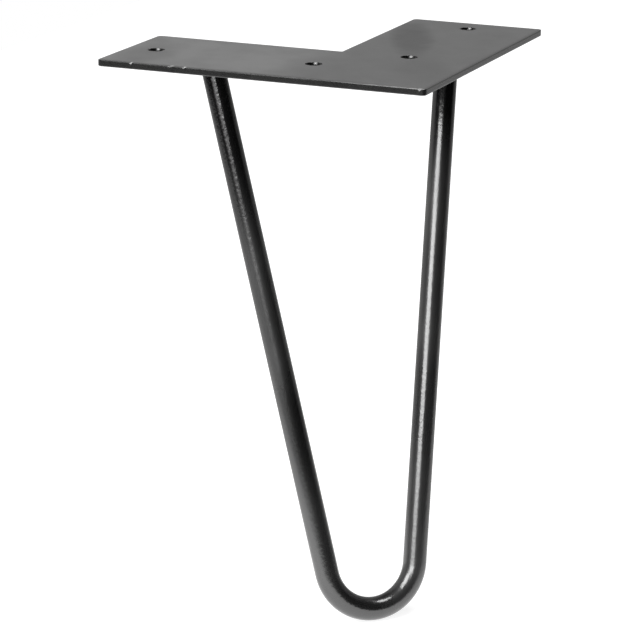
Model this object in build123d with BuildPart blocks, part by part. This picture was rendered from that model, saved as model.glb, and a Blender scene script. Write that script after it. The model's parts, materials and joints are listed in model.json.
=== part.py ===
from build123d import *
import os
from math import asin, atan2, cos, hypot, sin, tan

# Hairpin table leg: a round bar bent into a narrow V and welded under an L-shaped mounting plate.
# Millimetres, +Z up. The origin is on the plate's top face, where the centrelines of the two arms cross.
# The arms run along -X and +Y, and the foot of the V is straight below the origin.

# Mounting plate
arm_length = 143.2  # from the outer corner to the end of an arm
arm_width = 59.2
plate_thickness = 2.7
outer_corner_radius = 2.0
inner_corner_radius = 0.8
top_edge_rounding = 0.2
bottom_edge_rounding = 0.4

# Screw holes, two on the centreline of each arm
hole_diameter = 6.5
end_hole_margin = 12.8  # from the end of the arm to the middle of its outer hole
hole_spacing = 70.8

# Hairpin rod
rod_diameter = 10.0
rod_end_margin = 38.0  # from the end of the arm to the middle of the rod's top
overall_height = 236.7  # from the plate's top face to the lowest point of the foot
bend_radius = 20.4  # to the middle of the rod

# Weld beads, rings whose face is bevelled twice
weld_leg = 3.5  # along the plate and along the rod
weld_toe = 0.5  # thickness at the lower edge
weld_crown = 0.5  # how far the ridge between the two bevels stands out

# Places that follow from the sizes above
rod_radius = rod_diameter / 2
underside = -plate_thickness
arm_reach = arm_length - arm_width / 2
rod_reach = arm_reach - rod_end_margin
end_hole_reach = arm_reach - end_hole_margin
corner_hole_reach = end_hole_reach - hole_spacing

# The plane of the V: X across the two rod tops, Y up the slope from the foot to the middle of the tops
left_top = Vector(-rod_reach, 0, underside)
right_top = Vector(0, rod_reach, underside)
foot = Vector(0, 0, rod_radius - overall_height)
top_middle = (left_top + right_top) / 2
across = right_top - left_top
slope = top_middle - foot
hairpin_plane = Plane(origin=top_middle, x_dir=across, z_dir=across.cross(slope))

# Each straight run leaves its top at the angle that makes it tangent to the bend
half_spread = across.length / 2
bend_drop = slope.length - bend_radius
run_angle = atan2(half_spread, bend_drop) - asin(bend_radius / hypot(half_spread, bend_drop))
vertex_drop = half_spread / tan(run_angle)
left_run = hairpin_plane.x_dir * sin(run_angle) - hairpin_plane.y_dir * cos(run_angle)
right_run = hairpin_plane.x_dir * -sin(run_angle) - hairpin_plane.y_dir * cos(run_angle)

with BuildPart() as mounting_plate:
    with BuildSketch(Plane.XY.offset(underside)) as plate_outline:
        with Locations((arm_width / 2, -arm_width / 2)):
            Rectangle(arm_length, arm_width, align=(Align.MAX, Align.MIN))
            Rectangle(arm_width, arm_length, align=(Align.MAX, Align.MIN))
        inner_corner = (-arm_width / 2, arm_width / 2)
        fillet(plate_outline.vertices().sort_by_distance(inner_corner)[1:], outer_corner_radius)
        fillet(plate_outline.vertices().sort_by_distance(inner_corner)[0], inner_corner_radius)
    extrude(amount=plate_thickness)
    fillet(mounting_plate.faces().sort_by(Axis.Z)[-1].edges(), top_edge_rounding)
    fillet(mounting_plate.faces().sort_by(Axis.Z)[0].edges(), bottom_edge_rounding)
    for reach in (end_hole_reach, corner_hole_reach):
        with Locations((-reach, 0), (0, reach)):
            Hole(hole_diameter / 2)

with BuildPart() as hairpin_rod:
    # The bar starts one diameter above the plate's underside, so that its ends can be cut flush
    spare = rod_diameter
    start_spread = half_spread + spare * tan(run_angle)
    with BuildLine(hairpin_plane) as rod_path:
        FilletPolyline(
            (-start_spread, spare), (0, -vertex_drop), (start_spread, spare), radius=bend_radius
        )
    with BuildSketch(Plane(origin=rod_path.line @ 0, z_dir=rod_path.line % 0)):
        Circle(rod_radius)
    sweep()
    split(bisect_by=Plane.XY.offset(underside), keep=Keep.BOTTOM)


def weld_bead(top, run):
    """Ring of weld in the corner between the plate's underside and a rod that leans along run.

    Level cuts through a leaning rod are ellipses, so the ring is a loft of wider ellipses
    that follow the rod down, with straight faces between them and the rod taken out.
    """
    steepness = -run.Z
    half_leg = weld_leg / 2
    middle_reach = (weld_leg + weld_toe) / 2 + weld_crown
    with BuildPart() as bead:
        for depth, reach in ((0, weld_leg), (half_leg, middle_reach), (weld_leg, weld_toe)):
            level = Plane(top + run * (depth / steepness), x_dir=(run.X, run.Y, 0), z_dir=(0, 0, 1))
            with BuildSketch(level):
                Ellipse(rod_radius / steepness + reach, rod_radius + reach)
        loft(ruled=True)
        add(hairpin_rod.part, mode=Mode.SUBTRACT)
    return bead.part


weld_bead_left = weld_bead(left_top, left_run)
weld_bead_right = weld_bead(right_top, right_run)

mounting_plate.part.label = "mounting_plate"
hairpin_rod.part.label = "hairpin_rod"
weld_bead_left.label = "weld_bead_left"
weld_bead_right.label = "weld_bead_right"

os.makedirs("parts", exist_ok=True)
for piece in (mounting_plate.part, hairpin_rod.part, weld_bead_left, weld_bead_right):
    export_step(piece, f"parts/{piece.label}.step")
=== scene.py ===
"""Hairpin table leg in black lacquer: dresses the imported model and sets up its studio.

Lengths are metres in the part's own frame, +Z up. The origin is on the plate's top face, where the
centrelines of the two arms cross; the arms run along -X and +Y and the foot is straight below the origin.
"""
import json
import logging
from dataclasses import dataclass, field, replace
from enum import Enum
from math import asin, atan2, cos, hypot, pi, radians, sin
from typing import Any, Optional, Sequence, Union

import bpy
import numpy as np
from mathutils import Matrix, Vector
from mathutils.geometry import delaunay_2d_cdt


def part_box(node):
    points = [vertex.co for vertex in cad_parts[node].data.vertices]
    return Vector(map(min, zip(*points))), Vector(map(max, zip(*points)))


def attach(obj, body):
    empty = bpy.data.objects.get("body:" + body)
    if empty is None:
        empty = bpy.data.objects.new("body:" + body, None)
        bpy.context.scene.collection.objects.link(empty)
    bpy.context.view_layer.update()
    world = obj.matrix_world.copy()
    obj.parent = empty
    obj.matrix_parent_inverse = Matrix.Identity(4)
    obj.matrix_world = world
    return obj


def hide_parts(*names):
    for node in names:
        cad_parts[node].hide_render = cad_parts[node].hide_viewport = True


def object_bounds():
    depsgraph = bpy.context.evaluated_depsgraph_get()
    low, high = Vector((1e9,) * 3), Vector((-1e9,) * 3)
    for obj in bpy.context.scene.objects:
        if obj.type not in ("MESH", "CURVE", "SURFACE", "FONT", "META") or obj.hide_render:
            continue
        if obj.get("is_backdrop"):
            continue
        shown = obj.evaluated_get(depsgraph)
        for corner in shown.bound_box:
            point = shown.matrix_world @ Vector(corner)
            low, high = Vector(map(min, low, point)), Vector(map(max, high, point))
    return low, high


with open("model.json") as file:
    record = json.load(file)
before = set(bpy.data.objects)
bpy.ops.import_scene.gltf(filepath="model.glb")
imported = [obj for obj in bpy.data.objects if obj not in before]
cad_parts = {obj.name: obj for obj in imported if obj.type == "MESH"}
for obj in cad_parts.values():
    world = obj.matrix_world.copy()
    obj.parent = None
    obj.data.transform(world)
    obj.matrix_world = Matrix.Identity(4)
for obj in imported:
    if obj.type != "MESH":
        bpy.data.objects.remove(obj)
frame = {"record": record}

BODY = "root"
MILLIMETRE = 0.001
NOISE_MIDDLE = 0.5  # mean of the noise
SCALAR_OPERATIONS = ("DISTANCE", "DOT_PRODUCT", "LENGTH")  # those of Vector Math that give a number
MIX_FACTOR, MIX_FIRST, MIX_SECOND, MIX_RESULT = 0, 6, 7, 2  # sockets of a Mix node for colours

log = logging.getLogger("hairpin_leg")


class RodEnd(Enum):
    """The two ends of the hairpin, named as they stand in the main view."""

    LEFT = "left"
    RIGHT = "right"


class Signal:
    """One output socket of a shader, whose Python operators add Math nodes."""

    def __init__(self, sheet: "ShaderSheet", socket: Optional[bpy.types.NodeSocket]) -> None:
        """Keeps the socket and the sheet that new nodes go on."""
        self.sheet = sheet
        self.socket = socket

    def _math(self, operation: str, first: "Operand", second: "Operand") -> "Signal":
        """Adds one Math node for an operation on two values."""
        return self.sheet.add("ShaderNodeMath", {"operation": operation}, {0: first, 1: second})

    def __add__(self, other: "Operand") -> "Signal":
        """Sum of the two values."""
        return self._math("ADD", self, other)

    def __radd__(self, other: "Operand") -> "Signal":
        """Sum, with the plain number first."""
        return self._math("ADD", other, self)

    def __sub__(self, other: "Operand") -> "Signal":
        """Difference of the two values."""
        return self._math("SUBTRACT", self, other)

    def __rsub__(self, other: "Operand") -> "Signal":
        """Difference, with the plain number first."""
        return self._math("SUBTRACT", other, self)

    def __mul__(self, other: "Operand") -> "Signal":
        """Product of the two values."""
        return self._math("MULTIPLY", self, other)

    def __rmul__(self, other: "Operand") -> "Signal":
        """Product, with the plain number first."""
        return self._math("MULTIPLY", other, self)

    def highest(self, other: "Operand") -> "Signal":
        """The larger of the two values."""
        return self._math("MAXIMUM", self, other)

    def lowest(self, other: "Operand") -> "Signal":
        """The smaller of the two values."""
        return self._math("MINIMUM", self, other)

    def step(self, start: float, end: float) -> "Signal":
        """Smooth step from 0 where the value is start to 1 where it is end.

        Args:
            start: Value that gives 0.
            end: Value that gives 1; it may be the smaller of the two.

        Returns:
            The stepped value, held to the range 0 to 1.
        """
        low, high = min(start, end), max(start, end)
        at_low, at_high = (0.0, 1.0) if start < end else (1.0, 0.0)
        return self.sheet.add(
            "ShaderNodeMapRange",
            {"interpolation_type": "SMOOTHSTEP"},
            {"Value": self, "From Min": low, "From Max": high, "To Min": at_low, "To Max": at_high},
        )


Operand = Union[Signal, float]


class ShaderSheet:
    """The node tree of a material or a world, with one method that adds any node."""

    def __init__(self, tree: bpy.types.NodeTree) -> None:
        """Takes over a tree and empties it."""
        self.tree = tree
        tree.nodes.clear()

    def add(
        self,
        kind: str,
        settings: Optional[dict[str, Any]] = None,
        inputs: Optional[dict[Union[int, str], Any]] = None,
        output: Union[int, str] = 0,
    ) -> Signal:
        """Adds a node, sets it and then fills or links its sockets.

        Args:
            kind: Blender's type name of the node.
            settings: Attributes of the node, set before its sockets.
            inputs: Values or signals by socket name or number.
            output: The output socket that the returned signal stands for.

        Returns:
            The chosen output, or an empty signal for a node without outputs.
        """
        node = self.tree.nodes.new(kind)
        for name, value in (settings or {}).items():
            setattr(node, name, value)
        for key, value in (inputs or {}).items():
            if isinstance(value, Signal):
                self.tree.links.new(value.socket, node.inputs[key])
            else:
                node.inputs[key].default_value = value
        return Signal(self, node.outputs[output] if node.outputs else None)

    def vector(self, operation: str, first: Any, second: Any = None) -> Signal:
        """Adds one Vector Math node.

        Args:
            operation: Blender's name of the operation.
            first: Its first vector.
            second: Its second vector, where it takes two.

        Returns:
            A number for the operations that give one, and otherwise a vector.
        """
        inputs = {0: first} if second is None else {0: first, 1: second}
        output = "Value" if operation in SCALAR_OPERATIONS else "Vector"
        return self.add("ShaderNodeVectorMath", {"operation": operation}, inputs, output)

    def part(self, vector: Signal, axis: str) -> Signal:
        """One coordinate of a vector, by the name of its axis."""
        return self.add("ShaderNodeSeparateXYZ", {}, {"Vector": vector}, axis)

    def place(self, stretch: Sequence[float] = (1.0, 1.0, 1.0)) -> Signal:
        """Object coordinates in metres, each axis multiplied by its stretch."""
        return self.vector("MULTIPLY", self.add("ShaderNodeTexCoord", output="Object"), tuple(stretch))

    def noise(self, place: Signal, size: float, detail: float) -> Signal:
        """Cloudy noise, about 0 to 1 with its middle near 0.5.

        Args:
            place: Coordinates to read it at.
            size: Length of one cloud, in metres.
            detail: Number of finer octaves.

        Returns:
            The noise value.
        """
        inputs = {"Vector": place, "Scale": 1.0 / size, "Detail": detail}
        return self.add("ShaderNodeTexNoise", {}, inputs, output="Fac")

    def grains(self, place: Signal, spacing: float, radius: float, share: float) -> Signal:
        """Scattered round grains: 1 at the middle of a grain and 0 between grains.

        Cells of a Voronoi pattern hold one point each. A cell keeps its grain where its random
        colour is under the share.

        Args:
            place: Coordinates to read it at.
            spacing: Size of a cell, in metres.
            radius: Radius of a grain, in metres.
            share: Share of the cells that keep a grain.

        Returns:
            The grain value.
        """
        cell = {"Vector": place, "Scale": 1.0 / spacing}
        distance = self.add("ShaderNodeTexVoronoi", {}, cell, output="Distance")
        colour = self.add("ShaderNodeTexVoronoi", {}, cell, output="Color")
        chance = self.add("ShaderNodeSeparateColor", {}, {"Color": colour}, output="Red")
        margin = 0.01
        kept = chance.step(share + margin, share - margin)
        return distance.step(radius / spacing, 0.0) * kept

    def blend(self, factor: Signal, first: Any, second: Any) -> Signal:
        """Mix of two colours: the first where the factor is 0, the second where it is 1."""
        inputs = {MIX_FACTOR: factor, MIX_FIRST: first, MIX_SECOND: second}
        return self.add("ShaderNodeMix", {"data_type": "RGBA"}, inputs, MIX_RESULT)


def grey(level: float) -> tuple[float, float, float, float]:
    """Neutral colour of a linear level."""
    return (level, level, level, 1.0)


@dataclass(frozen=True)
class HazeBand:
    """A stretch of height where the lacquer is dull.

    Attributes:
        level: Height of its middle.
        reach: How far it fades above and below.
        strength: Share of the haze that it gets.
        slant: How far it climbs towards +X and +Y, per unit of length.
        lean: How much stronger it is towards +X and +Y, as a share per metre.
    """

    level: float
    reach: float
    strength: float
    slant: float = 0.08
    lean: float = 5.0

    def mask(self, sheet: ShaderSheet) -> Signal:
        """Strength at a place: a smooth hump of height that is flat over its middle third.

        Args:
            sheet: Where the nodes go.

        Returns:
            The share of haze.
        """
        sideways = sheet.vector("DOT_PRODUCT", sheet.place(), (1.0, 1.0, 0.0))
        height = sheet.part(sheet.place(), "Z") - sideways * self.slant
        flat = self.reach / 3
        rising = height.step(self.level - self.reach, self.level - flat)
        falling = height.step(self.level + self.reach, self.level + flat)
        return rising * falling * self.strength * (1.0 + sideways * self.lean)


@dataclass(frozen=True)
class Lacquer:
    """Sprayed black lacquer on steel: dark pigment in a glossy skin with orange peel, hazed by handling.

    The haze is a thin rough film, which spreads the highlights, with a little colour of its own.

    Attributes:
        name: Name of the material.
        pigment: Linear colour of the clean lacquer.
        haze: Linear colour where it is hazed.
        haze_share: Share of the haze outside the bands.
        bands: Stretches of height with more haze.
        cloud_size: Length of one cloud of haze.
        cloud_floor: Share of a band's haze that lies between the clouds.
        film: Weight of the film where the haze is full.
        film_gloss: Roughness of the film.
        film_index: Refractive index of the film.
        index: Refractive index of the skin.
        specular: Strength of the skin's reflection, 0.5 for plain varnish.
        gloss: Mean roughness of the clean skin.
        dulling: What full haze adds to it.
        gloss_spread: How far the roughness wanders either side of it.
        patch_size: Length of one patch of even roughness.
        mottle_size: Length of the finer mottle in it.
        peel_size: Length of one dimple of the orange peel.
        peel_depth: Height of the peel's relief.
        grit_size: Length of the finer grit, as a share of the peel's.
        grit_height: Height of the grit, as a share of the peel's.
        nib_height: Height of a nib over trapped dust, as a share of the peel's.
        nib_radius: Radius of a nib.
        grain_radius: Radius of the dust grain that shows in it.
        grain_spacing: Spacing of the places where a grain may be.
        grain_share: Share of those places that have one.
        grain_colour: Linear colour of a grain.
        speck: Share of a grain's own colour that shows.
        streak: Stretch of the cloudy patterns on X, Y and Z; a small factor draws them out.
    """

    name: str
    pigment: float = 0.001
    haze: float = 0.012
    haze_share: float = 0.07
    bands: tuple[HazeBand, ...] = ()
    cloud_size: float = 28 * MILLIMETRE
    cloud_floor: float = 0.4
    film: float = 1.0
    film_gloss: float = 0.55
    film_index: float = 1.8
    index: float = 1.5
    specular: float = 1.0
    gloss: float = 0.15
    dulling: float = 0.12
    gloss_spread: float = 0.05
    patch_size: float = 16 * MILLIMETRE
    mottle_size: float = 2.5 * MILLIMETRE
    peel_size: float = 1.3 * MILLIMETRE
    peel_depth: float = 0.055 * MILLIMETRE
    grit_size: float = 0.3
    grit_height: float = 0.25
    nib_height: float = 0.8
    nib_radius: float = 0.3 * MILLIMETRE
    grain_radius: float = 0.2 * MILLIMETRE
    grain_spacing: float = 3.2 * MILLIMETRE
    grain_share: float = 0.3
    grain_colour: float = 0.12
    speck: float = 0.3
    streak: tuple[float, float, float] = (1.0, 1.0, 0.3)

    def hazed(self, sheet: ShaderSheet) -> Signal:
        """Share of haze: soft clouds, thicker inside the bands.

        Args:
            sheet: Where the nodes go.

        Returns:
            The share at each place.
        """
        noise = sheet.noise(sheet.place(self.streak), self.cloud_size, detail=4.0)
        clouds = noise.step(start=0.25, end=0.75)
        share = clouds * self.haze_share
        for band in self.bands:
            share = share + band.mask(sheet) * (self.cloud_floor + (1.0 - self.cloud_floor) * clouds)
        return share

    def colour(self, sheet: ShaderSheet) -> Signal:
        """Pigment with haze and a few pale grains of dust.

        Args:
            sheet: Where the nodes go.

        Returns:
            The colour at each place.
        """
        dust = sheet.grains(sheet.place(), self.grain_spacing, self.grain_radius, self.grain_share)
        ground = sheet.blend(self.hazed(sheet), grey(self.pigment), grey(self.haze))
        return sheet.blend(dust * self.speck, ground, grey(self.grain_colour))

    def roughness(self, sheet: ShaderSheet) -> Signal:
        """Roughness that rises with the haze, with cloudy patches and a mottle half as strong.

        Args:
            sheet: Where the nodes go.

        Returns:
            The roughness at each place.
        """
        patches = sheet.noise(sheet.place(self.streak), self.patch_size, detail=3.0) - NOISE_MIDDLE
        mottle = sheet.noise(sheet.place(), self.mottle_size, detail=2.0) - NOISE_MIDDLE
        uneven = patches * (2.0 * self.gloss_spread) + mottle * self.gloss_spread
        return self.gloss + self.hazed(sheet) * self.dulling + uneven

    def relief(self, sheet: ShaderSheet) -> Signal:
        """Orange peel, finer grit and the nibs of trapped dust.

        Args:
            sheet: Where the nodes go.

        Returns:
            The height at each place, in shares of the peel's depth.
        """
        peel = sheet.noise(sheet.place(), self.peel_size, detail=1.0)
        grit = sheet.noise(sheet.place(), self.grit_size * self.peel_size, detail=1.0)
        nibs = sheet.grains(sheet.place(), self.grain_spacing, self.nib_radius, self.grain_share)
        return peel + self.grit_height * grit + self.nib_height * nibs

    def material(self) -> bpy.types.Material:
        """Builds the material.

        Returns:
            A material whose colour, roughness, film and normal vary over the surface.
        """
        made = bpy.data.materials.new(self.name)
        made.use_nodes = True
        sheet = ShaderSheet(made.node_tree)
        bump = {"Strength": 1.0, "Distance": self.peel_depth, "Height": self.relief(sheet)}
        skin = sheet.add(
            "ShaderNodeBsdfPrincipled",
            {},
            {
                "Base Color": self.colour(sheet),
                "Roughness": self.roughness(sheet),
                "IOR": self.index,
                "Specular IOR Level": self.specular,
                "Coat Weight": self.hazed(sheet) * self.film,
                "Coat Roughness": self.film_gloss,
                "Coat IOR": self.film_index,
                "Normal": sheet.add("ShaderNodeBump", {}, bump),
            },
        )
        sheet.add("ShaderNodeOutputMaterial", {}, {"Surface": skin})
        return made


@dataclass(frozen=True)
class NickAndGlint:
    """A pale spot near the plate's front top edge: partly lacquer knocked off, partly a painted glint of
    the dented edge catching the light.

    Attributes:
        along: Its place on X.
        inset: How far behind the front face it is.
        drop: How far below the top face it is.
        length: Its length along the edge.
        width: Its width across the edge.
        bare_and_glint: Linear colour of the bared steel and of the painted glint.
        chip_size: Length of one chip in its border.
        raggedness: How far the chips move its border, as a share of its half size.
    """

    along: float
    inset: float
    drop: float
    length: float
    width: float
    bare_and_glint: float
    chip_size: float = 0.4 * MILLIMETRE
    raggedness: float = 0.8

    @classmethod
    def in_millimetres(
        cls, along: float, inset: float, drop: float, length: float, width: float, bare_and_glint: float
    ) -> "NickAndGlint":
        """Makes a nick from lengths in millimetres."""
        lengths = (value * MILLIMETRE for value in (along, inset, drop, length, width))
        return cls(*lengths, bare_and_glint)

    def mask(self, sheet: ShaderSheet, front: float) -> Signal:
        """Share of the pale spot, bared steel and painted glint: a stretched ball about the nick, as long
        and as wide as it.

        Args:
            sheet: Where the nodes go.
            front: Y of the plate's front face.

        Returns:
            The share at each place, with an uneven border.
        """
        offset = sheet.vector("SUBTRACT", sheet.place(), (self.along, front + self.inset, -self.drop))
        shares = sheet.vector("DIVIDE", offset, (self.length / 2, self.width / 2, self.width / 2))
        chips = sheet.noise(sheet.place(), self.chip_size, detail=2.0) - NOISE_MIDDLE
        away = sheet.vector("LENGTH", shares) + chips * self.raggedness
        return away.step(start=1.15, end=0.75)


@dataclass(frozen=True)
class TopPatch:
    """A soft patch of the plate's top that is dustier or duller than the rest, or less so.

    Attributes:
        middle: Its place on X and Y.
        reach: How far it fades along X and Y.
        share: What it adds; negative where the plate was wiped.
        lean: How far it leans towards -X, per unit of Y.
        cloud_size: Length of one cloud in its border.
    """

    middle: tuple[float, float]
    reach: tuple[float, float]
    share: float
    lean: float = 0.0
    cloud_size: float = 16 * MILLIMETRE

    def mask(self, sheet: ShaderSheet) -> Signal:
        """Added share: a smooth hump over a leaning ellipse in plan, with a cloudy border.

        Args:
            sheet: Where the nodes go.

        Returns:
            The share at each place.
        """
        reach_x, reach_y = self.reach
        offset = sheet.vector("SUBTRACT", sheet.place(), (*self.middle, 0.0))
        across = sheet.vector("DOT_PRODUCT", offset, (1.0 / reach_x, self.lean / reach_x, 0.0))
        along = sheet.vector("DOT_PRODUCT", offset, (0.0, 1.0 / reach_y, 0.0))
        clouds = sheet.noise(sheet.place(), self.cloud_size, detail=2.0) - NOISE_MIDDLE
        away = across * across + along * along + clouds
        return away.step(start=1.0, end=0.0) * self.share


@dataclass(frozen=True)
class RubbedEdgeHighlight:
    """A stretch of the plate's front top edge painted pale in broken dashes: worn lacquer and a painted
    highlight of the edge catching the light.

    Attributes:
        start: X where it begins.
        full: X where it is strongest.
        inset: How far behind the front face its middle is.
        width: How far it reaches from there over the top face.
        dash: Length of one dash.
        bare_and_glint: Linear colour of the worn lacquer and of the painted highlight.
        narrowing: How many times less it reaches down the side than over the top.
        core: Share of its width where it is full.
        between: Share of the rubbing that is left between the dashes.
    """

    start: float
    full: float
    inset: float
    width: float
    dash: float
    bare_and_glint: float
    narrowing: float = 3.0
    core: float = 0.3
    between: float = 0.3

    def mask(self, sheet: ShaderSheet, front: float) -> Signal:
        """Share of worn lacquer and painted highlight: a soft line along the edge, cut into dashes by
        noise.

        Args:
            sheet: Where the nodes go.
            front: Y of the plate's front face.

        Returns:
            The share at each place.
        """
        offset = sheet.vector("SUBTRACT", sheet.place(), (0.0, front + self.inset, 0.0))
        away = sheet.vector("LENGTH", sheet.vector("MULTIPLY", offset, (0.0, 1.0, self.narrowing)))
        dashes = sheet.noise(sheet.place(), self.dash, detail=2.0).step(start=0.3, end=0.6)
        along = sheet.part(offset, "X").step(self.start, self.full)
        line = away.step(self.width, self.core * self.width) * along
        return line * (self.between + (1.0 - self.between) * dashes)


@dataclass(frozen=True)
class PlateLacquer(Lacquer):
    """Plate's lacquer: hazed outside the holes, which paints shade into them; dusty on top, with painted
    shade along the front and right edges; with pale chips, painted glints and a painted highlight along
    the front edge.

    Attributes:
        dust: Linear colour of the dust.
        dust_share: Share of dust on the clean part of the top.
        dusty_from: X where the dustier arm begins.
        dusty_to: X where its dust is full.
        dusty_share: Share that it adds there.
        wisp_size: Length of one wisp of dust.
        wisp_floor: Part of the dust that doesn't vary with the wisps.
        wisp_gain: What a full wisp adds to that.
        top_dulling: What dust and handling add to the roughness of the top.
        patches: Patches with more dust or less.
        smears: Patches with a rougher skin.
        nicks_and_glints: Pale spots along the front edge, partly chipped lacquer and partly painted
            glints; the one at the outer corner is a painted highlight.
        rubbed_highlight: The worn part of the front edge, painted pale as worn lacquer and as a highlight.
        front_shade_width: Width of the strip where the dust fades out towards the front edge; it paints
            shade along that edge.
        side_shade_width: Width of the strip where it fades out towards the right edge; it paints shade
            along that edge.
        front: Y of the plate's front face.
        side: X of the plate's right face.
        holes: X and Y of each screw hole.
        hole_radius: Radius of the holes.
        hole_shade_start: Distance outside a hole where the haze begins; nearer the hole and inside it the
            lacquer is painted dark, as shade.
        hole_shade_end: Distance outside a hole where it is full.
    """

    haze: float = 0.010
    cloud_size: float = 20 * MILLIMETRE
    cloud_floor: float = 0.6
    film: float = 0.1
    gloss: float = 0.22
    gloss_spread: float = 0.025
    dulling: float = 0.0
    speck: float = 0.1
    peel_size: float = 2.6 * MILLIMETRE
    peel_depth: float = 0.004 * MILLIMETRE
    dust: float = 0.125
    dust_share: float = 0.40
    dusty_from: float = -20 * MILLIMETRE
    dusty_to: float = -50 * MILLIMETRE
    dusty_share: float = 0.46
    wisp_size: float = 12 * MILLIMETRE
    wisp_floor: float = 0.55
    wisp_gain: float = 0.9
    top_dulling: float = 0.08
    patches: tuple[TopPatch, ...] = ()
    smears: tuple[TopPatch, ...] = ()
    nicks_and_glints: tuple[NickAndGlint, ...] = ()
    rubbed_highlight: Optional[RubbedEdgeHighlight] = None
    front_shade_width: float = 3.2 * MILLIMETRE
    side_shade_width: float = 2.2 * MILLIMETRE
    front: float = 0.0
    side: float = 0.0
    holes: tuple[tuple[float, float], ...] = ()
    hole_radius: float = 3.25 * MILLIMETRE
    hole_shade_start: float = 0.1 * MILLIMETRE
    hole_shade_end: float = 0.6 * MILLIMETRE

    def hazed(self, sheet: ShaderSheet) -> Signal:
        """Share of haze: even clouds all over the plate, fading out round the holes, which paints shade
        into them.

        Args:
            sheet: Where the nodes go.

        Returns:
            The share at each place.
        """
        plan = sheet.place((1.0, 1.0, 0.0))
        nearest, *others = (sheet.vector("DISTANCE", plan, (x, y, 0.0)) for x, y in self.holes)
        for distance in others:
            nearest = nearest.lowest(distance)
        # painted shade: the holes and a thin ring round them get no haze, so they stay darker
        outside = nearest.step(self.hole_radius + self.hole_shade_start, self.hole_radius + self.hole_shade_end)
        noise = sheet.noise(sheet.place(self.streak), self.cloud_size, detail=3.0)
        clouds = noise.step(start=0.2, end=0.7)
        return outside * (self.cloud_floor + (1.0 - self.cloud_floor) * clouds)

    def upright(self, sheet: ShaderSheet) -> Signal:
        """Share by which a face looks up: 1 on the top, 0 on the sides and on most of the rounding."""
        normal = sheet.add("ShaderNodeTexCoord", output="Normal")
        return sheet.part(normal, "Z").step(start=0.9, end=0.995)

    def dusted(self, sheet: ShaderSheet) -> Signal:
        """Share of dust on faces that look up.

        It is thicker on one arm and in the patches. It fades out towards the right edge and towards
        the front edge where the worn highlight isn't, which paints shade along those edges.

        Args:
            sheet: Where the nodes go.

        Returns:
            The share at each place.
        """
        place = sheet.place()
        x, y = sheet.part(place, "X"), sheet.part(place, "Y")
        share = self.dust_share + x.step(self.dusty_from, self.dusty_to) * self.dusty_share
        for patch in self.patches:
            share = share + patch.mask(sheet)
        wisps = self.wisp_floor + self.wisp_gain * sheet.noise(place, self.wisp_size, detail=4.0)
        # painted shade: no dust in a strip along the front and right edges, so the edges look darker
        behind_front = y.step(self.front, self.front + self.front_shade_width)
        if self.rubbed_highlight:
            behind_front = behind_front.highest(x.step(self.rubbed_highlight.start, self.rubbed_highlight.full))
        rims = behind_front * x.step(self.side, self.side - self.side_shade_width)
        return share * wisps * self.upright(sheet) * rims

    def roughness(self, sheet: ShaderSheet) -> Signal:
        """Roughness of the lacquer, duller on top, with the smears added.

        Args:
            sheet: Where the nodes go.

        Returns:
            The roughness at each place.
        """
        level = super().roughness(sheet) + self.upright(sheet) * self.top_dulling
        for smear in self.smears:
            level = level + smear.mask(sheet)
        return level

    def colour(self, sheet: ShaderSheet) -> Signal:
        """Hazed lacquer under dust, with the worn edge and its painted highlight, and the pale chips and
        painted glints, over both.

        Args:
            sheet: Where the nodes go.

        Returns:
            The colour at each place.
        """
        shade = sheet.blend(self.dusted(sheet), super().colour(sheet), grey(self.dust))
        if self.rubbed_highlight:
            shade = sheet.blend(self.rubbed_highlight.mask(sheet, self.front), shade, grey(self.rubbed_highlight.bare_and_glint))
        for nick in self.nicks_and_glints:
            shade = sheet.blend(nick.mask(sheet, self.front), shade, grey(nick.bare_and_glint))
        return shade


@dataclass
class Surface:
    """A mesh as whole arrays.

    Attributes:
        vertices: Coordinates, one row each.
        smooth: Blocks of faces that are shaded smooth, as rows of vertex numbers.
        flat: Blocks of faces that are shaded flat.
    """

    vertices: np.ndarray
    smooth: list[np.ndarray]
    flat: list[np.ndarray] = field(default_factory=list)

    def to_object(self, name: str, material: bpy.types.Material) -> bpy.types.Object:
        """Puts the arrays into a mesh object at the origin.

        Args:
            name: Name of the object and of its mesh.
            material: Its one material.

        Returns:
            The object, linked to the scene.
        """
        mesh = bpy.data.meshes.new(name)
        blocks = self.smooth + self.flat
        mesh.from_pydata(self.vertices.tolist(), [], [row for block in blocks for row in block.tolist()])
        smooth_count = sum(len(block) for block in self.smooth)
        mesh.polygons.foreach_set("use_smooth", np.arange(len(mesh.polygons)) < smooth_count)
        mesh.materials.append(material)
        mesh.update()
        piece = bpy.data.objects.new(name, mesh)
        bpy.context.scene.collection.objects.link(piece)
        return piece


def screw_holes() -> tuple[tuple[tuple[float, float], ...], float]:
    """Reads the plate's screw holes from the bolt patterns in the record.

    Returns:
        The X and Y of each hole, and the holes' radius.
    """
    patterns = [mount for mount in frame["record"]["mounts"] if mount["kind"] == "bolt_pattern"]
    middles = []
    for pattern in patterns:
        x, y, _ = pattern["pos_m"]
        half_x = pattern["dims"].get("spacing_x_mm", 0.0) * MILLIMETRE / 2
        half_y = pattern["dims"].get("spacing_y_mm", 0.0) * MILLIMETRE / 2
        middles += [(x - half_x, y - half_y), (x + half_x, y + half_y)]
    return tuple(middles), patterns[0]["dims"]["hole_r_mm"] * MILLIMETRE


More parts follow.
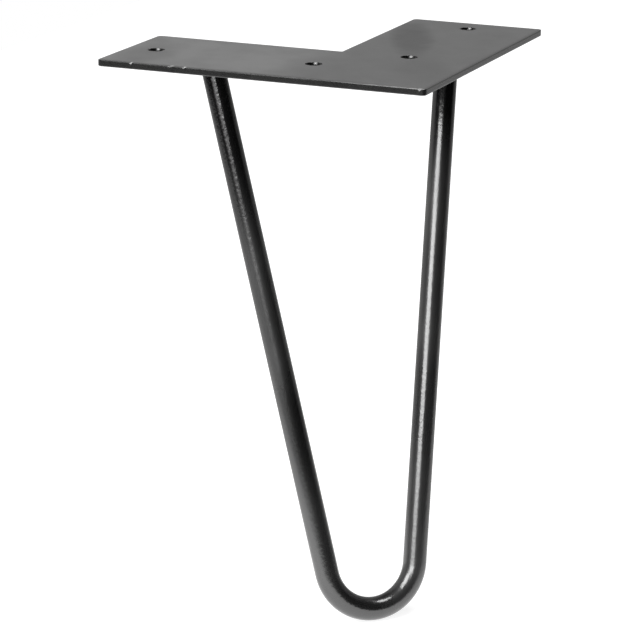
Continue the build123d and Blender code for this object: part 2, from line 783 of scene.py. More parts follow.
def grid_quads(rows: int, columns: int, first: int = 0, closed_rows: bool = False) -> np.ndarray:
    """Quads of a grid whose columns close on themselves.

    Vertex number is first + row * columns + column; each quad takes a vertex, the next in its row and
    the two beside them in the next row.

    Args:
        rows: Number of rows.
        columns: Number of columns.
        first: Number of the grid's first vertex.
        closed_rows: Whether the last row joins the first.

    Returns:
        An array of shape (quads, 4).
    """
    steps = rows if closed_rows else rows - 1
    row, column = np.meshgrid(np.arange(steps), np.arange(columns), indexing="ij")
    below, beside = (row + 1) % rows, (column + 1) % columns
    here, under = row * columns, below * columns
    corners = (here + column, here + beside, under + beside, under + column)
    return first + np.stack(corners, axis=-1).reshape(-1, 4)


@dataclass
class HairpinRod:
    """Round bar bent once into a narrow V, with its ends cut flush under the plate.

    Attributes:
        lacquer: Its finish.
        radius: Radius of the bar.
        reach: Distance from the arms' crossing to the middle of each rod top.
        bend_radius: Radius of the bend, to the middle of the bar.
        around: Vertices round the bar.
        run_rings: Rings on each straight run.
        bend_rings: Rings round the bend.
    """

    lacquer: Lacquer
    radius: float = 5.0 * MILLIMETRE
    reach: float = 75.6 * MILLIMETRE
    bend_radius: float = 20.4 * MILLIMETRE
    around: int = 96
    run_rings: int = 64
    bend_rings: int = 80

    def __post_init__(self) -> None:
        """Works out the plane of the V and the angle of its runs."""
        low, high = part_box("hairpin_rod")
        self.underside: float = high.z
        tops = {
            RodEnd.LEFT: np.array((-self.reach, 0.0, self.underside)),
            RodEnd.RIGHT: np.array((0.0, self.reach, self.underside)),
        }
        foot = np.array((0.0, 0.0, low.z + self.radius))
        self.tops = tops
        self.middle = (tops[RodEnd.LEFT] + tops[RodEnd.RIGHT]) / 2
        spread = tops[RodEnd.RIGHT] - tops[RodEnd.LEFT]
        slope = self.middle - foot
        self.half_spread = float(np.linalg.norm(spread)) / 2
        self.bend_drop = float(np.linalg.norm(slope)) - self.bend_radius
        self.across = spread / np.linalg.norm(spread)
        self.upward = slope / np.linalg.norm(slope)
        self.facing = np.cross(self.across, self.upward)
        reach_to_bend = hypot(self.half_spread, self.bend_drop)
        self.run_angle = atan2(self.half_spread, self.bend_drop) - asin(self.bend_radius / reach_to_bend)

    def run(self, end: RodEnd) -> np.ndarray:
        """Direction of the straight run that leaves an end, as a unit vector pointing down the rod."""
        inward = 1.0 if end is RodEnd.LEFT else -1.0
        return inward * sin(self.run_angle) * self.across - cos(self.run_angle) * self.upward

    def centreline(self) -> tuple[np.ndarray, np.ndarray]:
        """Middle of the bar: a straight run, an arc tangent to both runs, and the other run.

        In the plane of the V, with the arc's centre straight below the middle of the tops, the arc goes
        from one tangent point round the foot to the other.

        Returns:
            Points and unit tangents, each of shape (rings, 3).
        """
        a = self.run_angle
        turn = np.linspace(pi + a, 2 * pi - a, self.bend_rings)
        arc = self.bend_radius * np.stack((np.cos(turn), np.sin(turn)), axis=1) - (0.0, self.bend_drop)
        arc_tangent = np.stack((-np.sin(turn), np.cos(turn)), axis=1)
        share = np.linspace(0.0, 1.0, self.run_rings, endpoint=False)[:, None]
        left = np.array((-self.half_spread, 0.0)) * (1 - share) + arc[0] * share
        right = (np.array((self.half_spread, 0.0)) * (1 - share) + arc[-1] * share)[::-1]
        flat = np.concatenate((left, arc, right))
        before = np.repeat(arc_tangent[:1], len(left), axis=0)
        after = np.repeat(arc_tangent[-1:], len(right), axis=0)
        tangent = np.concatenate((before, arc_tangent, after))
        basis = np.stack((self.across, self.upward))
        return self.middle + flat @ basis, tangent @ basis

    def surface(self) -> Surface:
        """Tube round the centreline.

        A ring is the circle spanned by the normal of the V's plane and the direction across the bar in
        that plane. The first and last rings slide along the bar until they lie in the plate's underside,
        and a fan closes each.

        Returns:
            The closed tube.
        """
        points, tangents = self.centreline()
        angle = np.linspace(0.0, 2 * pi, self.around, endpoint=False)
        sideways = np.cross(self.facing, tangents)
        ring = (
            np.cos(angle)[None, :, None] * sideways[:, None, :]
            + np.sin(angle)[None, :, None] * self.facing[None, None, :]
        )
        tube = points[:, None, :] + self.radius * ring
        for index in (0, -1):
            lift = (self.underside - tube[index, :, 2]) / tangents[index, 2]
            tube[index] += lift[:, None] * tangents[index]
        rows, columns = tube.shape[:2]
        vertices = np.concatenate((tube.reshape(-1, 3), points[[0, -1]]))
        sides = grid_quads(rows, columns)
        rim = np.arange(columns)
        following = (rim + 1) % columns
        last = (rows - 1) * columns
        start_cap = np.stack((np.full(columns, rows * columns), following, rim), axis=1)
        end_cap = np.stack((np.full(columns, rows * columns + 1), last + rim, last + following), axis=1)
        return Surface(vertices, [sides], [start_cap, end_cap])

    def build(self) -> bpy.types.Object:
        """Makes the bar and lets it stand for its node.

        Returns:
            The bar object.
        """
        piece = self.surface().to_object("lacquered_rod", self.lacquer.material())
        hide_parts("hairpin_rod")
        return piece


@dataclass
class MountingPlate:
    """Flat L of sheet steel with eased edges and four plain screw holes.

    Attributes:
        lacquer: Its finish.
        corner_radius: Radius of the outer corners in plan.
        inner_radius: Radius of the inner corner in plan.
        top_rounding: Rounding of the top edge where it is sharp.
        eased_inset: How far the eased top edge of the front and right sides reaches over the top face.
        eased_drop: How far it reaches down the side.
        sharp_from: X where the front edge begins to be sharp.
        sharp_to: X where it is sharp.
        bottom_rounding: Rounding of the bottom edge.
        rim_inset: How much wider the punched hole is at its top.
        rim_drop: How far down its taper reaches.
        nick_depth: How deep a nick goes.
        step: Spacing of the vertices along the outline.
        fine_step: Spacing at a nick.
        corner_steps: Vertices on each corner.
        round_steps: Steps across a rounded edge.
        side_steps: Rows of vertices on the side between the rounded edges.
        hole_steps: Vertices round a hole.
    """

    lacquer: PlateLacquer
    corner_radius: float = 2.0 * MILLIMETRE
    inner_radius: float = 0.8 * MILLIMETRE
    top_rounding: float = 0.2 * MILLIMETRE
    eased_inset: float = 0.3 * MILLIMETRE
    eased_drop: float = 0.05 * MILLIMETRE
    sharp_from: float = -25 * MILLIMETRE
    sharp_to: float = 5 * MILLIMETRE
    bottom_rounding: float = 0.4 * MILLIMETRE
    rim_inset: float = 0.25 * MILLIMETRE
    rim_drop: float = 0.85 * MILLIMETRE
    nick_depth: float = 0.12 * MILLIMETRE
    step: float = 1.5 * MILLIMETRE
    fine_step: float = 0.12 * MILLIMETRE
    corner_steps: int = 13
    round_steps: int = 8
    side_steps: int = 3
    hole_steps: int = 96

    def __post_init__(self) -> None:
        """Reads the arms from the node's box and the holes from the record's mounts."""
        low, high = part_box("mounting_plate")
        self.half_width: float = high.x
        self.arm_reach: float = -low.x
        self.thickness: float = high.z - low.z
        self.hole_radius = self.lacquer.hole_radius
        self.holes = self.lacquer.holes

    def outline(self) -> tuple[np.ndarray, np.ndarray]:
        """Plan outline of the L, anticlockwise from the front left corner.

        Each straight side runs between the tangent points of its two corners. On a corner with incoming
        direction d and outgoing direction e, the point at angle t is centre + r (d sin t - e cos t) and
        the direction of travel is d cos t + e sin t. The outward normal is that direction turned right.

        Returns:
            Points and outward normals, each of shape (points, 2).
        """
        half, reach = self.half_width, self.arm_reach
        corners = np.array(
            ((-reach, -half), (half, -half), (half, reach), (-half, reach), (-half, half), (-reach, half))
        )
        inner = 4
        points, headings = [], []
        for index, corner in enumerate(corners):
            arriving = corner - corners[index - 1]
            leaving = corners[(index + 1) % len(corners)] - corner
            run = float(np.linalg.norm(leaving))
            d, e = arriving / np.linalg.norm(arriving), leaving / run
            radius = self.inner_radius if index == inner else self.corner_radius
            next_radius = self.inner_radius if index + 1 == inner else self.corner_radius
            t = np.linspace(0.0, pi / 2, self.corner_steps)[:, None]
            points.append(corner + radius * (e - d) + radius * (d * np.sin(t) - e * np.cos(t)))
            headings.append(d * np.cos(t) + e * np.sin(t))
            along = self.stations(radius, run - next_radius, corner[0] if index == 0 else None)[:, None]
            points.append(corner + e * along)
            headings.append(np.repeat(e[None], len(along), axis=0))
        heading = np.concatenate(headings)
        return np.concatenate(points), np.stack((heading[:, 1], -heading[:, 0]), axis=1)

    def stations(self, start: float, end: float, nick_origin: Optional[float]) -> np.ndarray:
        """Distances of the vertices along a straight side, its two ends left out.

        Args:
            start: Distance of the side's first tangent point from its corner.
            end: Distance of its last.
            nick_origin: X of the corner if the side carries the nicks_and_glints, or None.

        Returns:
            Rising distances, closer together at each nick.
        """
        even = np.linspace(start, end, max(3, round((end - start) / self.step)))[1:-1]
        if nick_origin is None:
            return even
        spots = [
            np.arange(-nick.length, nick.length, self.fine_step) + nick.along - nick_origin
            for nick in self.lacquer.nicks_and_glints
        ]
        rising = np.unique(np.concatenate((even, *spots)))
        return rising[(rising > start) & (rising < end)]

    def edge_profile(
        self, inset: float, drop: float, lower: float, taper: bool = False
    ) -> tuple[np.ndarray, np.ndarray]:
        """Section of an edge from the top face over the side to the bottom face.

        A quarter ellipse or a straight taper, the straight side and a quarter circle; one more point at
        each end lies on the flat face, so that the face's shading stays flat.

        Args:
            inset: How far the first part reaches along the top face.
            drop: How far it reaches down the side.
            lower: Radius of the quarter circle at the bottom.
            taper: Whether the first part is straight.

        Returns:
            How far each point lies inside the outline, and its height.
        """
        share = np.linspace(0.0, 1.0, self.round_steps + 1)
        over, down = 1 - np.sin(share * pi / 2), 1 - np.cos(share * pi / 2)
        first_over, first_down = (1 - share, share) if taper else (over, down)
        side = np.linspace(-drop, lower - self.thickness, self.side_steps + 2)[1:-1]
        shoulder = inset / 2
        insets = np.concatenate(
            ((inset + shoulder,), inset * first_over, 0.0 * side, lower * over[::-1], (lower + shoulder,))
        )
        heights = np.concatenate(
            ((0.0,), -drop * first_down, side, lower * down[::-1] - self.thickness, (-self.thickness,))
        )
        return insets, heights

    def edge_shape(self, points: np.ndarray, normals: np.ndarray) -> tuple[np.ndarray, np.ndarray]:
        """Section of the edge at each point of the outline, a mix of two profiles.

        The sides that look to the front and the right have an eased top edge, by how far their normals
        turn that way, and the others a sharp one. Towards the outer corner the front edge is sharp too.

        Args:
            points: Outline in plan.
            normals: Its outward normals.

        Returns:
            Insets and heights, each of shape (profile, outline).
        """
        sharp = self.edge_profile(self.top_rounding, self.top_rounding, self.bottom_rounding)
        eased = self.edge_profile(self.eased_inset, self.eased_drop, self.bottom_rounding)
        sharpness = np.clip((points[:, 0] - self.sharp_from) / (self.sharp_to - self.sharp_from), 0.0, 1.0)
        to_front, to_right = np.clip(-normals[:, 1], 0.0, 1.0), np.clip(normals[:, 0], 0.0, 1.0)
        share = np.clip(to_front * (1 - sharpness) + to_right, 0.0, 1.0)
        insets, heights = (np.outer(a, 1 - share) + np.outer(b, share) for a, b in zip(sharp, eased))
        return insets, heights

    def border(self) -> np.ndarray:
        """Edge of the plate: the edge profile carried round the outline, dented at each nick.

        A point is the outline's point, less its inset along the outward normal. At a nick it sinks
        back and down by the nick depth, times a cosine bell along the edge and a bell round the
        nick's place on the profile.

        Returns:
            Vertices of shape (profile, outline, 3).
        """
        points, normals = self.outline()
        insets, heights = self.edge_shape(points, normals)
        plan = points[None] - insets[:, :, None] * normals[None]
        shape = np.concatenate((plan, heights[:, :, None]), axis=2)
        square_to_front = -0.99
        on_front = normals[:, 1] < square_to_front
        on_face = np.isclose(heights, 0.0) | np.isclose(heights, -self.thickness)
        for nick in self.lacquer.nicks_and_glints:
            offset = np.clip(np.abs(points[:, 0] - nick.along) / nick.length, 0.0, 1.0)
            along = on_front * (0.5 + 0.5 * np.cos(pi * offset))
            across = np.exp(-(((insets - nick.inset) ** 2 + (heights + nick.drop) ** 2) / nick.width**2))
            sink = self.nick_depth * across * along[None]
            shape[:, :, 1] += sink
            shape[:, :, 2] -= np.where(on_face, 0.0, sink)
        return shape

    def bore(self, middle: tuple[float, float]) -> np.ndarray:
        """Wall of a hole: an edge profile that tapers like a punched hole, turned round the hole's axis.

        Args:
            middle: X and Y of the hole.

        Returns:
            Vertices of shape (profile, angle, 3).
        """
        insets, heights = self.edge_profile(self.rim_inset, self.rim_drop, self.rim_inset, taper=True)
        angle = np.linspace(0.0, 2 * pi, self.hole_steps, endpoint=False)
        radius = self.hole_radius + insets[:, None]
        return np.stack(
            (
                middle[0] + radius * np.cos(angle),
                middle[1] + radius * np.sin(angle),
                np.broadcast_to(heights[:, None], (len(heights), len(angle))),
            ),
            axis=2,
        )

    def face(self, vertices: np.ndarray, loops: list[np.ndarray], upward: bool) -> np.ndarray:
        """Fills one flat face between the outline and the holes with triangles.

        A constrained Delaunay triangulation of the loops, without the triangles whose middle lies in a
        hole. The rest are turned to face up or down by the sign of their area in plan.

        Args:
            vertices: All vertices of the plate.
            loops: Vertex numbers of the outer loop and of each hole's loop.
            upward: Whether the face looks up.

        Returns:
            Triangles as rows of vertex numbers.
        """
        numbers = np.concatenate(loops)
        starts = np.cumsum([0] + [len(loop) for loop in loops])
        edges = [
            (int(start + i), int(start + (i + 1) % len(loop)))
            for start, loop in zip(starts, loops)
            for i in range(len(loop))
        ]
        plan = [Vector(row) for row in vertices[numbers, :2].tolist()]
        inside_outline, merge_distance = 1, 1e-9
        made = delaunay_2d_cdt(plan, edges, [], inside_outline, merge_distance)
        _, _, corners, sources, *_ = made
        origin = np.array([source[0] for source in sources])
        triangles = numbers[origin[np.array(corners)]]
        middles = vertices[triangles, :2].mean(axis=1)
        to_holes = np.linalg.norm(middles[:, None] - np.array(self.holes)[None], axis=2)
        triangles = triangles[to_holes.min(axis=1) > self.hole_radius]
        a, b, c = (vertices[triangles[:, k], :2] for k in range(3))
        area = (b - a)[:, 0] * (c - a)[:, 1] - (b - a)[:, 1] * (c - a)[:, 0]
        wrong = (area > 0) != upward
        triangles[wrong] = triangles[wrong][:, ::-1]
        return triangles

    def surface(self) -> Surface:
        """Edge, bores and the two faces as one closed mesh.

        Returns:
            The closed plate.
        """
        border = self.border()
        bores = [self.bore(middle) for middle in self.holes]
        sheets = [border] + bores
        vertices = np.concatenate([sheet.reshape(-1, 3) for sheet in sheets])
        starts = np.cumsum([0] + [sheet.shape[0] * sheet.shape[1] for sheet in sheets])
        walls, tops, bottoms = [], [], []
        for start, sheet in zip(starts, sheets):
            rows, columns = sheet.shape[:2]
            quads = grid_quads(rows, columns, int(start))
            walls.append(quads[:, ::-1] if sheet is border else quads)
            tops.append(start + np.arange(columns))
            bottoms.append(start + (rows - 1) * columns + np.arange(columns))
        faces = [self.face(vertices, tops, True), self.face(vertices, bottoms, False)]
        return Surface(vertices, walls, faces)

    def build(self) -> bpy.types.Object:
        """Makes the plate and lets it stand for its node.

        Returns:
            The plate object.
        """
        piece = self.surface().to_object("lacquered_plate", self.lacquer.material())
        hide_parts("mounting_plate")
        return piece


@dataclass
class WeldBead:
    """Ring of weld in the corner between the plate's underside and one rod end.

    Attributes:
        rod: The rod it holds.
        end: Which end of the rod.
        lacquer: Its finish.
        leg: Its width on the plate and on the rod.
        toe: Its thickness at the lower edge.
        crown: How far its face bulges.
        ripples: Number of ripples round the rod.
        ripple_depth: Height of a ripple.
        ripple_lag: How far a ripple lags at the middle of the face, in ripples.
        ripple_drift: How far the spacing of the ripples wanders, in ripples.
        ripple_edge: Power that sharpens a ripple's trailing edge.
        unevenness: Share by which the height of the ripples varies round the rod.
        uneven_from: Angle that turns this variation round the rod.
        around: Vertices round the rod.
        across: Vertices from the plate to the rod.
    """

    rod: HairpinRod
    end: RodEnd
    lacquer: Lacquer
    leg: float = 3.5 * MILLIMETRE
    toe: float = 0.5 * MILLIMETRE
    crown: float = 0.5 * MILLIMETRE
    ripples: int = 21
    ripple_depth: float = 0.22 * MILLIMETRE
    ripple_lag: float = 0.45
    ripple_drift: float = 0.12
    ripple_edge: float = 1.5
    unevenness: float = 0.25
    uneven_from: float = 0.8
    around: int = 252
    across: int = 18

    def surface(self) -> Surface:
        """Bulged face with overlapping ripples, closed against the plate and the rod.

        A level cut through the leaning rod is an ellipse. At depth h the bead's edge is that ellipse,
        moved down the rod by h and widened by a reach that falls from the leg to the toe along a
        parabola. Ripples take away from the reach: their phase goes with the angle and lags at the
        middle of the face, so that each is a crescent with a sharp trailing edge.

        Returns:
            The closed ring.
        """
        top, run = self.rod.tops[self.end], self.rod.run(self.end)
        steepness = -run[2]
        lean = np.array((run[0], run[1], 0.0)) / hypot(run[0], run[1])
        level = np.cross((0.0, 0.0, 1.0), lean)
        angle = np.linspace(0.0, 2 * pi, self.around, endpoint=False)[None, :]
        share = np.linspace(0.0, 1.0, self.across)[:, None]
        swell = 4.0 * share * (1 - share)
        drift = self.ripple_drift * np.sin(3 * angle)
        phase = self.ripples * angle / (2 * pi) + self.ripple_lag * swell + drift
        ripple = (phase % 1.0) ** self.ripple_edge
        strength = 1.0 - self.unevenness + self.unevenness * np.sin(2 * angle + self.uneven_from)
        reach = self.leg * (1 - share) + self.toe * share + self.crown * swell
        reach = reach - self.ripple_depth * strength * ripple * swell
        contact = np.zeros_like(angle)
        reach = np.concatenate((reach, contact, contact))
        depth = np.broadcast_to(self.leg * share, (self.across, self.around))
        depth = np.concatenate((depth, contact + self.leg, contact))
        shape = (
            top
            + (depth / steepness)[:, :, None] * run
            + ((self.rod.radius / steepness + reach) * np.cos(angle))[:, :, None] * lean
            + ((self.rod.radius + reach) * np.sin(angle))[:, :, None] * level
        )
        rows = self.across + 2
        quads = grid_quads(rows, self.around, closed_rows=True)[:, ::-1]
        face_quads = (self.across - 1) * self.around
        return Surface(shape.reshape(-1, 3), [quads[:face_quads]], [quads[face_quads:]])

    def build(self) -> bpy.types.Object:
        """Makes the bead and lets it stand for its node.

        Returns:
            The bead object.
        """
        piece = self.surface().to_object(f"weld_ripples_{self.end.value}", self.lacquer.material())
        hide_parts(f"weld_bead_{self.end.value}")
        return piece


def bearing(azimuth: float, elevation: float) -> tuple[float, float, float]:
    """Unit vector for degrees of azimuth, from -Y towards +X, and degrees above the horizon."""
    a, e = radians(azimuth), radians(elevation)
    return (sin(a) * cos(e), -cos(a) * cos(e), sin(e))


@dataclass
class PhotoCamera:
    """Camera that saw the leg, with its distances in the part's frame.

    Attributes:
        place: Where it stands.
        azimuth: Degrees round the leg, from -Y towards +X.
        elevation: Degrees above the horizon.
        roll: Degrees that the picture is turned.
        focal_pixels: Focal length in pixels of the picture.
        picture_pixels: Side of the square picture.
        sensor: Width of the sensor, in millimetres.
        near: Shortest distance that it shows.
        far: Longest distance that it shows.
    """

    place: tuple[float, float, float] = (0.43397, -1.11081, 0.23621)
    azimuth: float = 22.50
    elevation: float = 15.966
    roll: float = 0.542
    focal_pixels: float = 3009.1
    picture_pixels: float = 640.0
    sensor: float = 36.0
    near: float = 0.05
    far: float = 50.0

    def build(self) -> bpy.types.Object:
        """Makes the camera and gives it to the scene.

        Returns:
            The camera object.
        """
        a, r = radians(self.azimuth), radians(self.roll)
        back = Vector(bearing(self.azimuth, self.elevation))
        level = Vector((cos(a), sin(a), 0.0))
        rise = back.cross(level)
        right = cos(r) * level + sin(r) * rise
        up = cos(r) * rise - sin(r) * level
        data = bpy.data.cameras.new("photo_camera")
        data.sensor_width = self.sensor
        data.lens = self.sensor * self.focal_pixels / self.picture_pixels
        data.clip_start = self.near
        data.clip_end = self.far
        camera = bpy.data.objects.new("photo_camera", data)
        turn = Matrix((right, up, back)).transposed().to_4x4()
        camera.matrix_world = Matrix.Translation(self.place) @ turn
        bpy.context.scene.collection.objects.link(camera)
        bpy.context.scene.camera = camera
        return camera


@dataclass(frozen=True)
class Softbox:
    """Rectangular lamp.

    Attributes:
        name: Its name.
        place: Where its middle is.
        target: The point that it faces.
        width: Its width.
        height: Its height.
        radiance: How bright its face is, where a white surface under plain light is 1.
    """

    name: str
    place: tuple[float, float, float]
    target: tuple[float, float, float]
    width: float
    height: float
    radiance: float

    def build(self) -> bpy.types.Object:
        """Makes the lamp.

        Returns:
            The lamp object, out of sight of the camera.
        """
        data = bpy.data.lights.new(self.name, "AREA")
        data.shape = "RECTANGLE"
        data.size = self.width
        data.size_y = self.height
        data.energy = self.radiance * pi * self.width * self.height
        lamp = bpy.data.objects.new(self.name, data)
        lamp.location = self.place
        lamp.rotation_mode = "QUATERNION"
        lamp.rotation_quaternion = (Vector(self.target) - Vector(self.place)).to_track_quat("-Z", "Y")
        lamp.visible_camera = False
        bpy.context.scene.collection.objects.link(lamp)
        return lamp


@dataclass(frozen=True)
class Wall:
    """A white side of the room, as a soft lobe of brightness.

    Attributes:
        azimuth: Degrees from -Y towards +X of its middle.
        elevation: Degrees above the horizon of its middle.
        level: Its brightness, where 1 is white.
        edge: Cosine of the angle from its middle where it has faded out.
        core: Cosine of the angle from its middle where it reaches its level.
    """

    azimuth: float
    elevation: float
    level: float
    edge: float
    core: float

    def shine(self, sheet: ShaderSheet) -> Signal:
        """Brightness of this wall along a ray: a smooth step of the cosine to its middle.

        Args:
            sheet: Where the nodes go.

        Returns:
            The brightness.
        """
        direction = sheet.add("ShaderNodeTexCoord", output="Generated")
        cosine = sheet.vector("DOT_PRODUCT", direction, bearing(self.azimuth, self.elevation))
        return cosine.step(self.edge, self.core) * self.level


@dataclass
class Studio:
    """Dark room with white walls behind and to the left, softboxes in front and above, and white paper.

    Attributes:
        softboxes: The lamps.
        walls: The white sides of the room.
        dark_level: Brightness of the rest of the room.
        paper_low: Front left corner of the paper, in plan.
        paper_high: Back right corner of the paper, in plan.
        paper_lines: Lines of the paper's grid each way.
        paper_colour: Linear colour of the paper.
        paper_glow: Light that the paper gives to the camera at the foot; away from it this grows to 1.
        white_radius: Distance from the foot where it reaches 1.
        pool_level: What reflections see of the paper in the middle of the pool of light.
        pool_middle: Middle of the pool, in plan.
        pool_radius: Radius of the pool.
        pool_fade: Y where the pool begins, from behind, and Y where it is full.
        front_level: What they see of the paper in front of the pool.
        back_level: What they see of it behind the pool.
        back_fade: Y where the front level begins to change and Y where it has become the back level.
    """

    softboxes: tuple[Softbox, ...]
    walls: tuple[Wall, ...]
    dark_level: float = 0.012
    paper_low: tuple[float, float] = (-0.75, -0.75)
    paper_high: tuple[float, float] = (0.45, 3.0)
    paper_lines: int = 25
    paper_colour: float = 0.42
    paper_glow: float = 0.82
    white_radius: float = 0.35
    pool_level: float = 2.0
    pool_middle: tuple[float, float] = (-0.06, -0.02)
    pool_radius: float = 0.36
    pool_fade: tuple[float, float] = (0.2, -0.2)
    front_level: float = 0.04
    back_level: float = 0.32
    back_fade: tuple[float, float] = (-0.35, 0.25)

    def build_world(self) -> None:
        """White to the camera; for other rays the brightest wall that lies their way."""
        world = bpy.data.worlds.new("white_set")
        world.use_nodes = True
        bpy.context.scene.world = world
        sheet = ShaderSheet(world.node_tree)
        first, *others = self.walls
        level = first.shine(sheet)
        for wall in others:
            level = level.highest(wall.shine(sheet))
        level = level.highest(self.dark_level)
        room = sheet.add("ShaderNodeBackground", {}, {"Color": grey(1.0), "Strength": level})
        white = sheet.add("ShaderNodeBackground", {}, {"Color": grey(1.0), "Strength": 1.0})
        camera_ray = sheet.add("ShaderNodeLightPath", output="Is Camera Ray")
        mixed = sheet.add("ShaderNodeMixShader", {}, {0: camera_ray, 1: room, 2: white})
        sheet.add("ShaderNodeOutputWorld", {}, {"Surface": mixed})

    def paper_material(self) -> bpy.types.Material:
        """Matt white that keeps the leg's soft shadow, with a painted pool of light that only reflections
        see.

        Returns:
            The paper's material.
        """
        made = bpy.data.materials.new("white_paper")
        made.use_nodes = True
        sheet = ShaderSheet(made.node_tree)
        plan = sheet.place((1.0, 1.0, 0.0))
        depth = sheet.part(plan, "Y")
        # painted light: the pool and the front and back levels are a glow of the paper that only reflected
        # and transmitted rays see, not light from the lamps
        from_pool = sheet.vector("DISTANCE", plan, (*self.pool_middle, 0.0))
        far = depth.step(*self.back_fade) * (self.back_level - self.front_level) + self.front_level
        pool = from_pool.step(self.pool_radius, 0.0) * depth.step(*self.pool_fade) * self.pool_level + far
        camera_ray = sheet.add("ShaderNodeLightPath", output="Is Camera Ray")
        glossy_ray = sheet.add("ShaderNodeLightPath", output="Is Glossy Ray")
        clear_ray = sheet.add("ShaderNodeLightPath", output="Is Transmission Ray")
        whiteness = sheet.vector("LENGTH", plan).step(0.0, self.white_radius)
        seen = whiteness * (1.0 - self.paper_glow) + self.paper_glow
        glow = camera_ray * seen + glossy_ray.highest(clear_ray) * pool
        paper = sheet.add("ShaderNodeBsdfDiffuse", {}, {"Color": grey(self.paper_colour)})
        light = sheet.add("ShaderNodeEmission", {}, {"Color": grey(1.0), "Strength": glow})
        both = sheet.add("ShaderNodeAddShader", {}, {0: paper, 1: light})
        sheet.add("ShaderNodeOutputMaterial", {}, {"Surface": both})
        return made

    def build_paper(self, level: float) -> bpy.types.Object:
        """Makes the paper: an even grid between its two corners.

        Args:
            level: Height of the floor.

        Returns:
            The paper object.
        """
        count = self.paper_lines
        x = np.linspace(self.paper_low[0], self.paper_high[0], count)
        y = np.linspace(self.paper_low[1], self.paper_high[1], count)
        plan_y, plan_x = np.meshgrid(y, x, indexing="ij")
        sheet = np.stack((plan_x, plan_y, np.full_like(plan_x, level)), axis=2)
        corner = (np.arange(count - 1)[:, None] * count + np.arange(count - 1)[None]).reshape(-1, 1)
        quads = corner + np.array(((0, 1, count + 1, count),))
        paper = Surface(sheet.reshape(-1, 3), [], [quads]).to_object("paper_floor", self.paper_material())
        paper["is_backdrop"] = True
        return paper

    def build(self, floor_level: float) -> None:
        """Sets up the world, the paper and the lamps.

        Args:
            floor_level: Height of the floor.
        """
        self.build_world()
        self.build_paper(floor_level)
        for softbox in self.softboxes:
            softbox.build()
        bpy.context.scene.view_settings.view_transform = "Standard"


def plate_finish() -> PlateLacquer:
    """Lacquer of the plate, with the marks that wear and dust left on it, and with painted glints, a
    painted highlight and painted shade.

    Returns:
        The finish, with its holes, chip and glint spots, painted edge highlight and patches in their
        places.
    """
    low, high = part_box("mounting_plate")
    holes, hole_radius = screw_holes()
    nicks_and_glints = (
        # pale spots on the front edge: partly chipped lacquer, partly painted glints
        NickAndGlint.in_millimetres(along=-98.0, inset=0.8, drop=0.0, length=0.9, width=2.0, bare_and_glint=0.42),
        NickAndGlint.in_millimetres(along=-80.0, inset=1.0, drop=0.0, length=1.8, width=1.7, bare_and_glint=0.36),
        NickAndGlint.in_millimetres(along=-74.2, inset=1.0, drop=0.0, length=0.9, width=1.4, bare_and_glint=0.85),
        # painted highlight: the glint at the plate's outer corner
        NickAndGlint.in_millimetres(along=27.2, inset=0.8, drop=0.1, length=1.7, width=2.0, bare_and_glint=0.26),
    )
    # painted highlight and worn lacquer: the pale broken line along the front top edge near the corner
    rubbed_highlight = RubbedEdgeHighlight(start=-0.025, full=0.027, inset=0.0004, width=0.0006, dash=0.003, bare_and_glint=0.3)
    dull_cloud = TopPatch(middle=(-0.0140, 0.0700), reach=(0.012, 0.046), share=-0.10, lean=0.38)
    patches = (
        TopPatch(middle=(-0.056, -0.008), reach=(0.024, 0.020), share=0.15),
        TopPatch(middle=(-0.089, 0.005), reach=(0.012, 0.030), share=0.15),
        TopPatch(middle=(-0.100, -0.008), reach=(0.014, 0.030), share=-0.32),
        dull_cloud,
        TopPatch(middle=(0.0145, 0.007), reach=(0.016, 0.034), share=-0.14, lean=0.38),
    )
    return PlateLacquer(
        "plate_black",
        patches=patches,
        smears=(replace(dull_cloud, share=0.12),),
        nicks_and_glints=nicks_and_glints,
        rubbed_highlight=rubbed_highlight,
        front=low.y,
        side=high.x,
        holes=holes,
        hole_radius=hole_radius,
    )


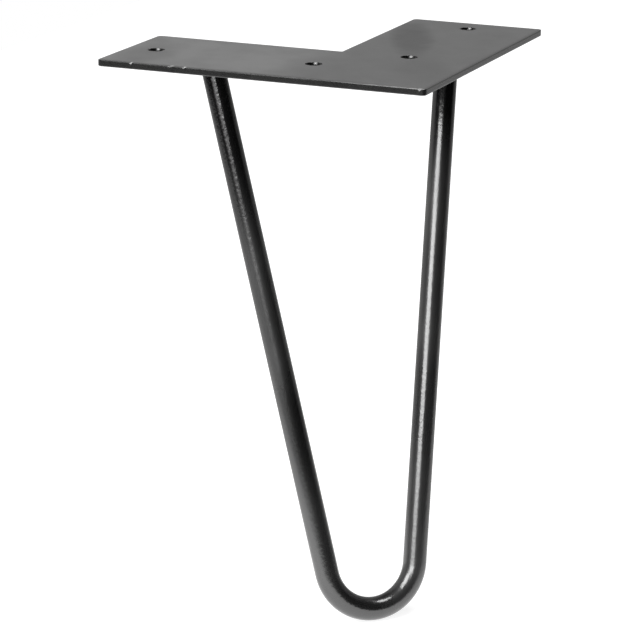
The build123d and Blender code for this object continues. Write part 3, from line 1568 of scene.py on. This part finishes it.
def rod_finish() -> Lacquer:
    """Lacquer of the rod, with the stretches that handling and dust have dulled.

    Returns:
        The finish.
    """
    dull_grip = HazeBand(level=-94 * MILLIMETRE, reach=66 * MILLIMETRE, strength=0.78)
    faint_shin = HazeBand(level=-168 * MILLIMETRE, reach=32 * MILLIMETRE, strength=0.24)
    dusty_foot = HazeBand(level=-245 * MILLIMETRE, reach=90 * MILLIMETRE, strength=0.45)
    return Lacquer("rod_black", bands=(dull_grip, faint_shin, dusty_foot))


def photo_studio(floor_level: float) -> Studio:
    """Lamps and walls whose reflections give the streaks and tones of the main view.

    Args:
        floor_level: Height of the floor.

    Returns:
        The studio, not built yet.
    """
    middle = (-0.02, 0.02, -0.1)
    foot = (0.0, 0.0, floor_level)
    softboxes = (
        Softbox("key_core", (-0.06, -2.40, 0.71), middle, width=1.66, height=0.48, radiance=9.4),
        Softbox("key_middle", (-0.06, -2.40, 0.34), middle, width=1.66, height=0.26, radiance=5.3),
        Softbox("key_low", (-0.22, -2.40, 0.05), middle, width=1.02, height=0.30, radiance=1.9),
        Softbox("key_high", (-0.58, -1.57, 1.32), foot, width=1.35, height=1.22, radiance=8.8),
        Softbox("top_right", (0.75, 0.09, 2.87), foot, width=1.50, height=0.95, radiance=7.8),
    )
    walls = (
        Wall(azimuth=215.0, elevation=16.0, level=0.43, edge=0.952, core=0.973),
        Wall(azimuth=205.0, elevation=16.0, level=0.41, edge=0.934, core=0.974),
        Wall(azimuth=175.0, elevation=0.0, level=0.355, edge=0.30, core=0.85),
        Wall(azimuth=-102.0, elevation=14.0, level=0.50, edge=0.60, core=0.93),
    )
    return Studio(softboxes, walls)


def main() -> None:
    """Builds the leg, its studio and its camera, in that order."""
    logging.basicConfig(level=logging.INFO, format="%(name)s: %(message)s")
    cad_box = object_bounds()
    rod = HairpinRod(rod_finish())
    weld_lacquer = Lacquer("weld_black", gloss=0.28)
    pieces = [MountingPlate(plate_finish()).build(), rod.build()]
    pieces += [WeldBead(rod, end, weld_lacquer).build() for end in RodEnd]
    for piece in pieces:
        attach(piece, BODY)
        mesh = piece.data
        log.info("%s: %d vertices, %d faces", piece.name, len(mesh.vertices), len(mesh.polygons))
    floor_level = cad_box[0].z
    photo_studio(floor_level).build(floor_level)
    PhotoCamera().build()


if __name__ == "__main__":
    main()
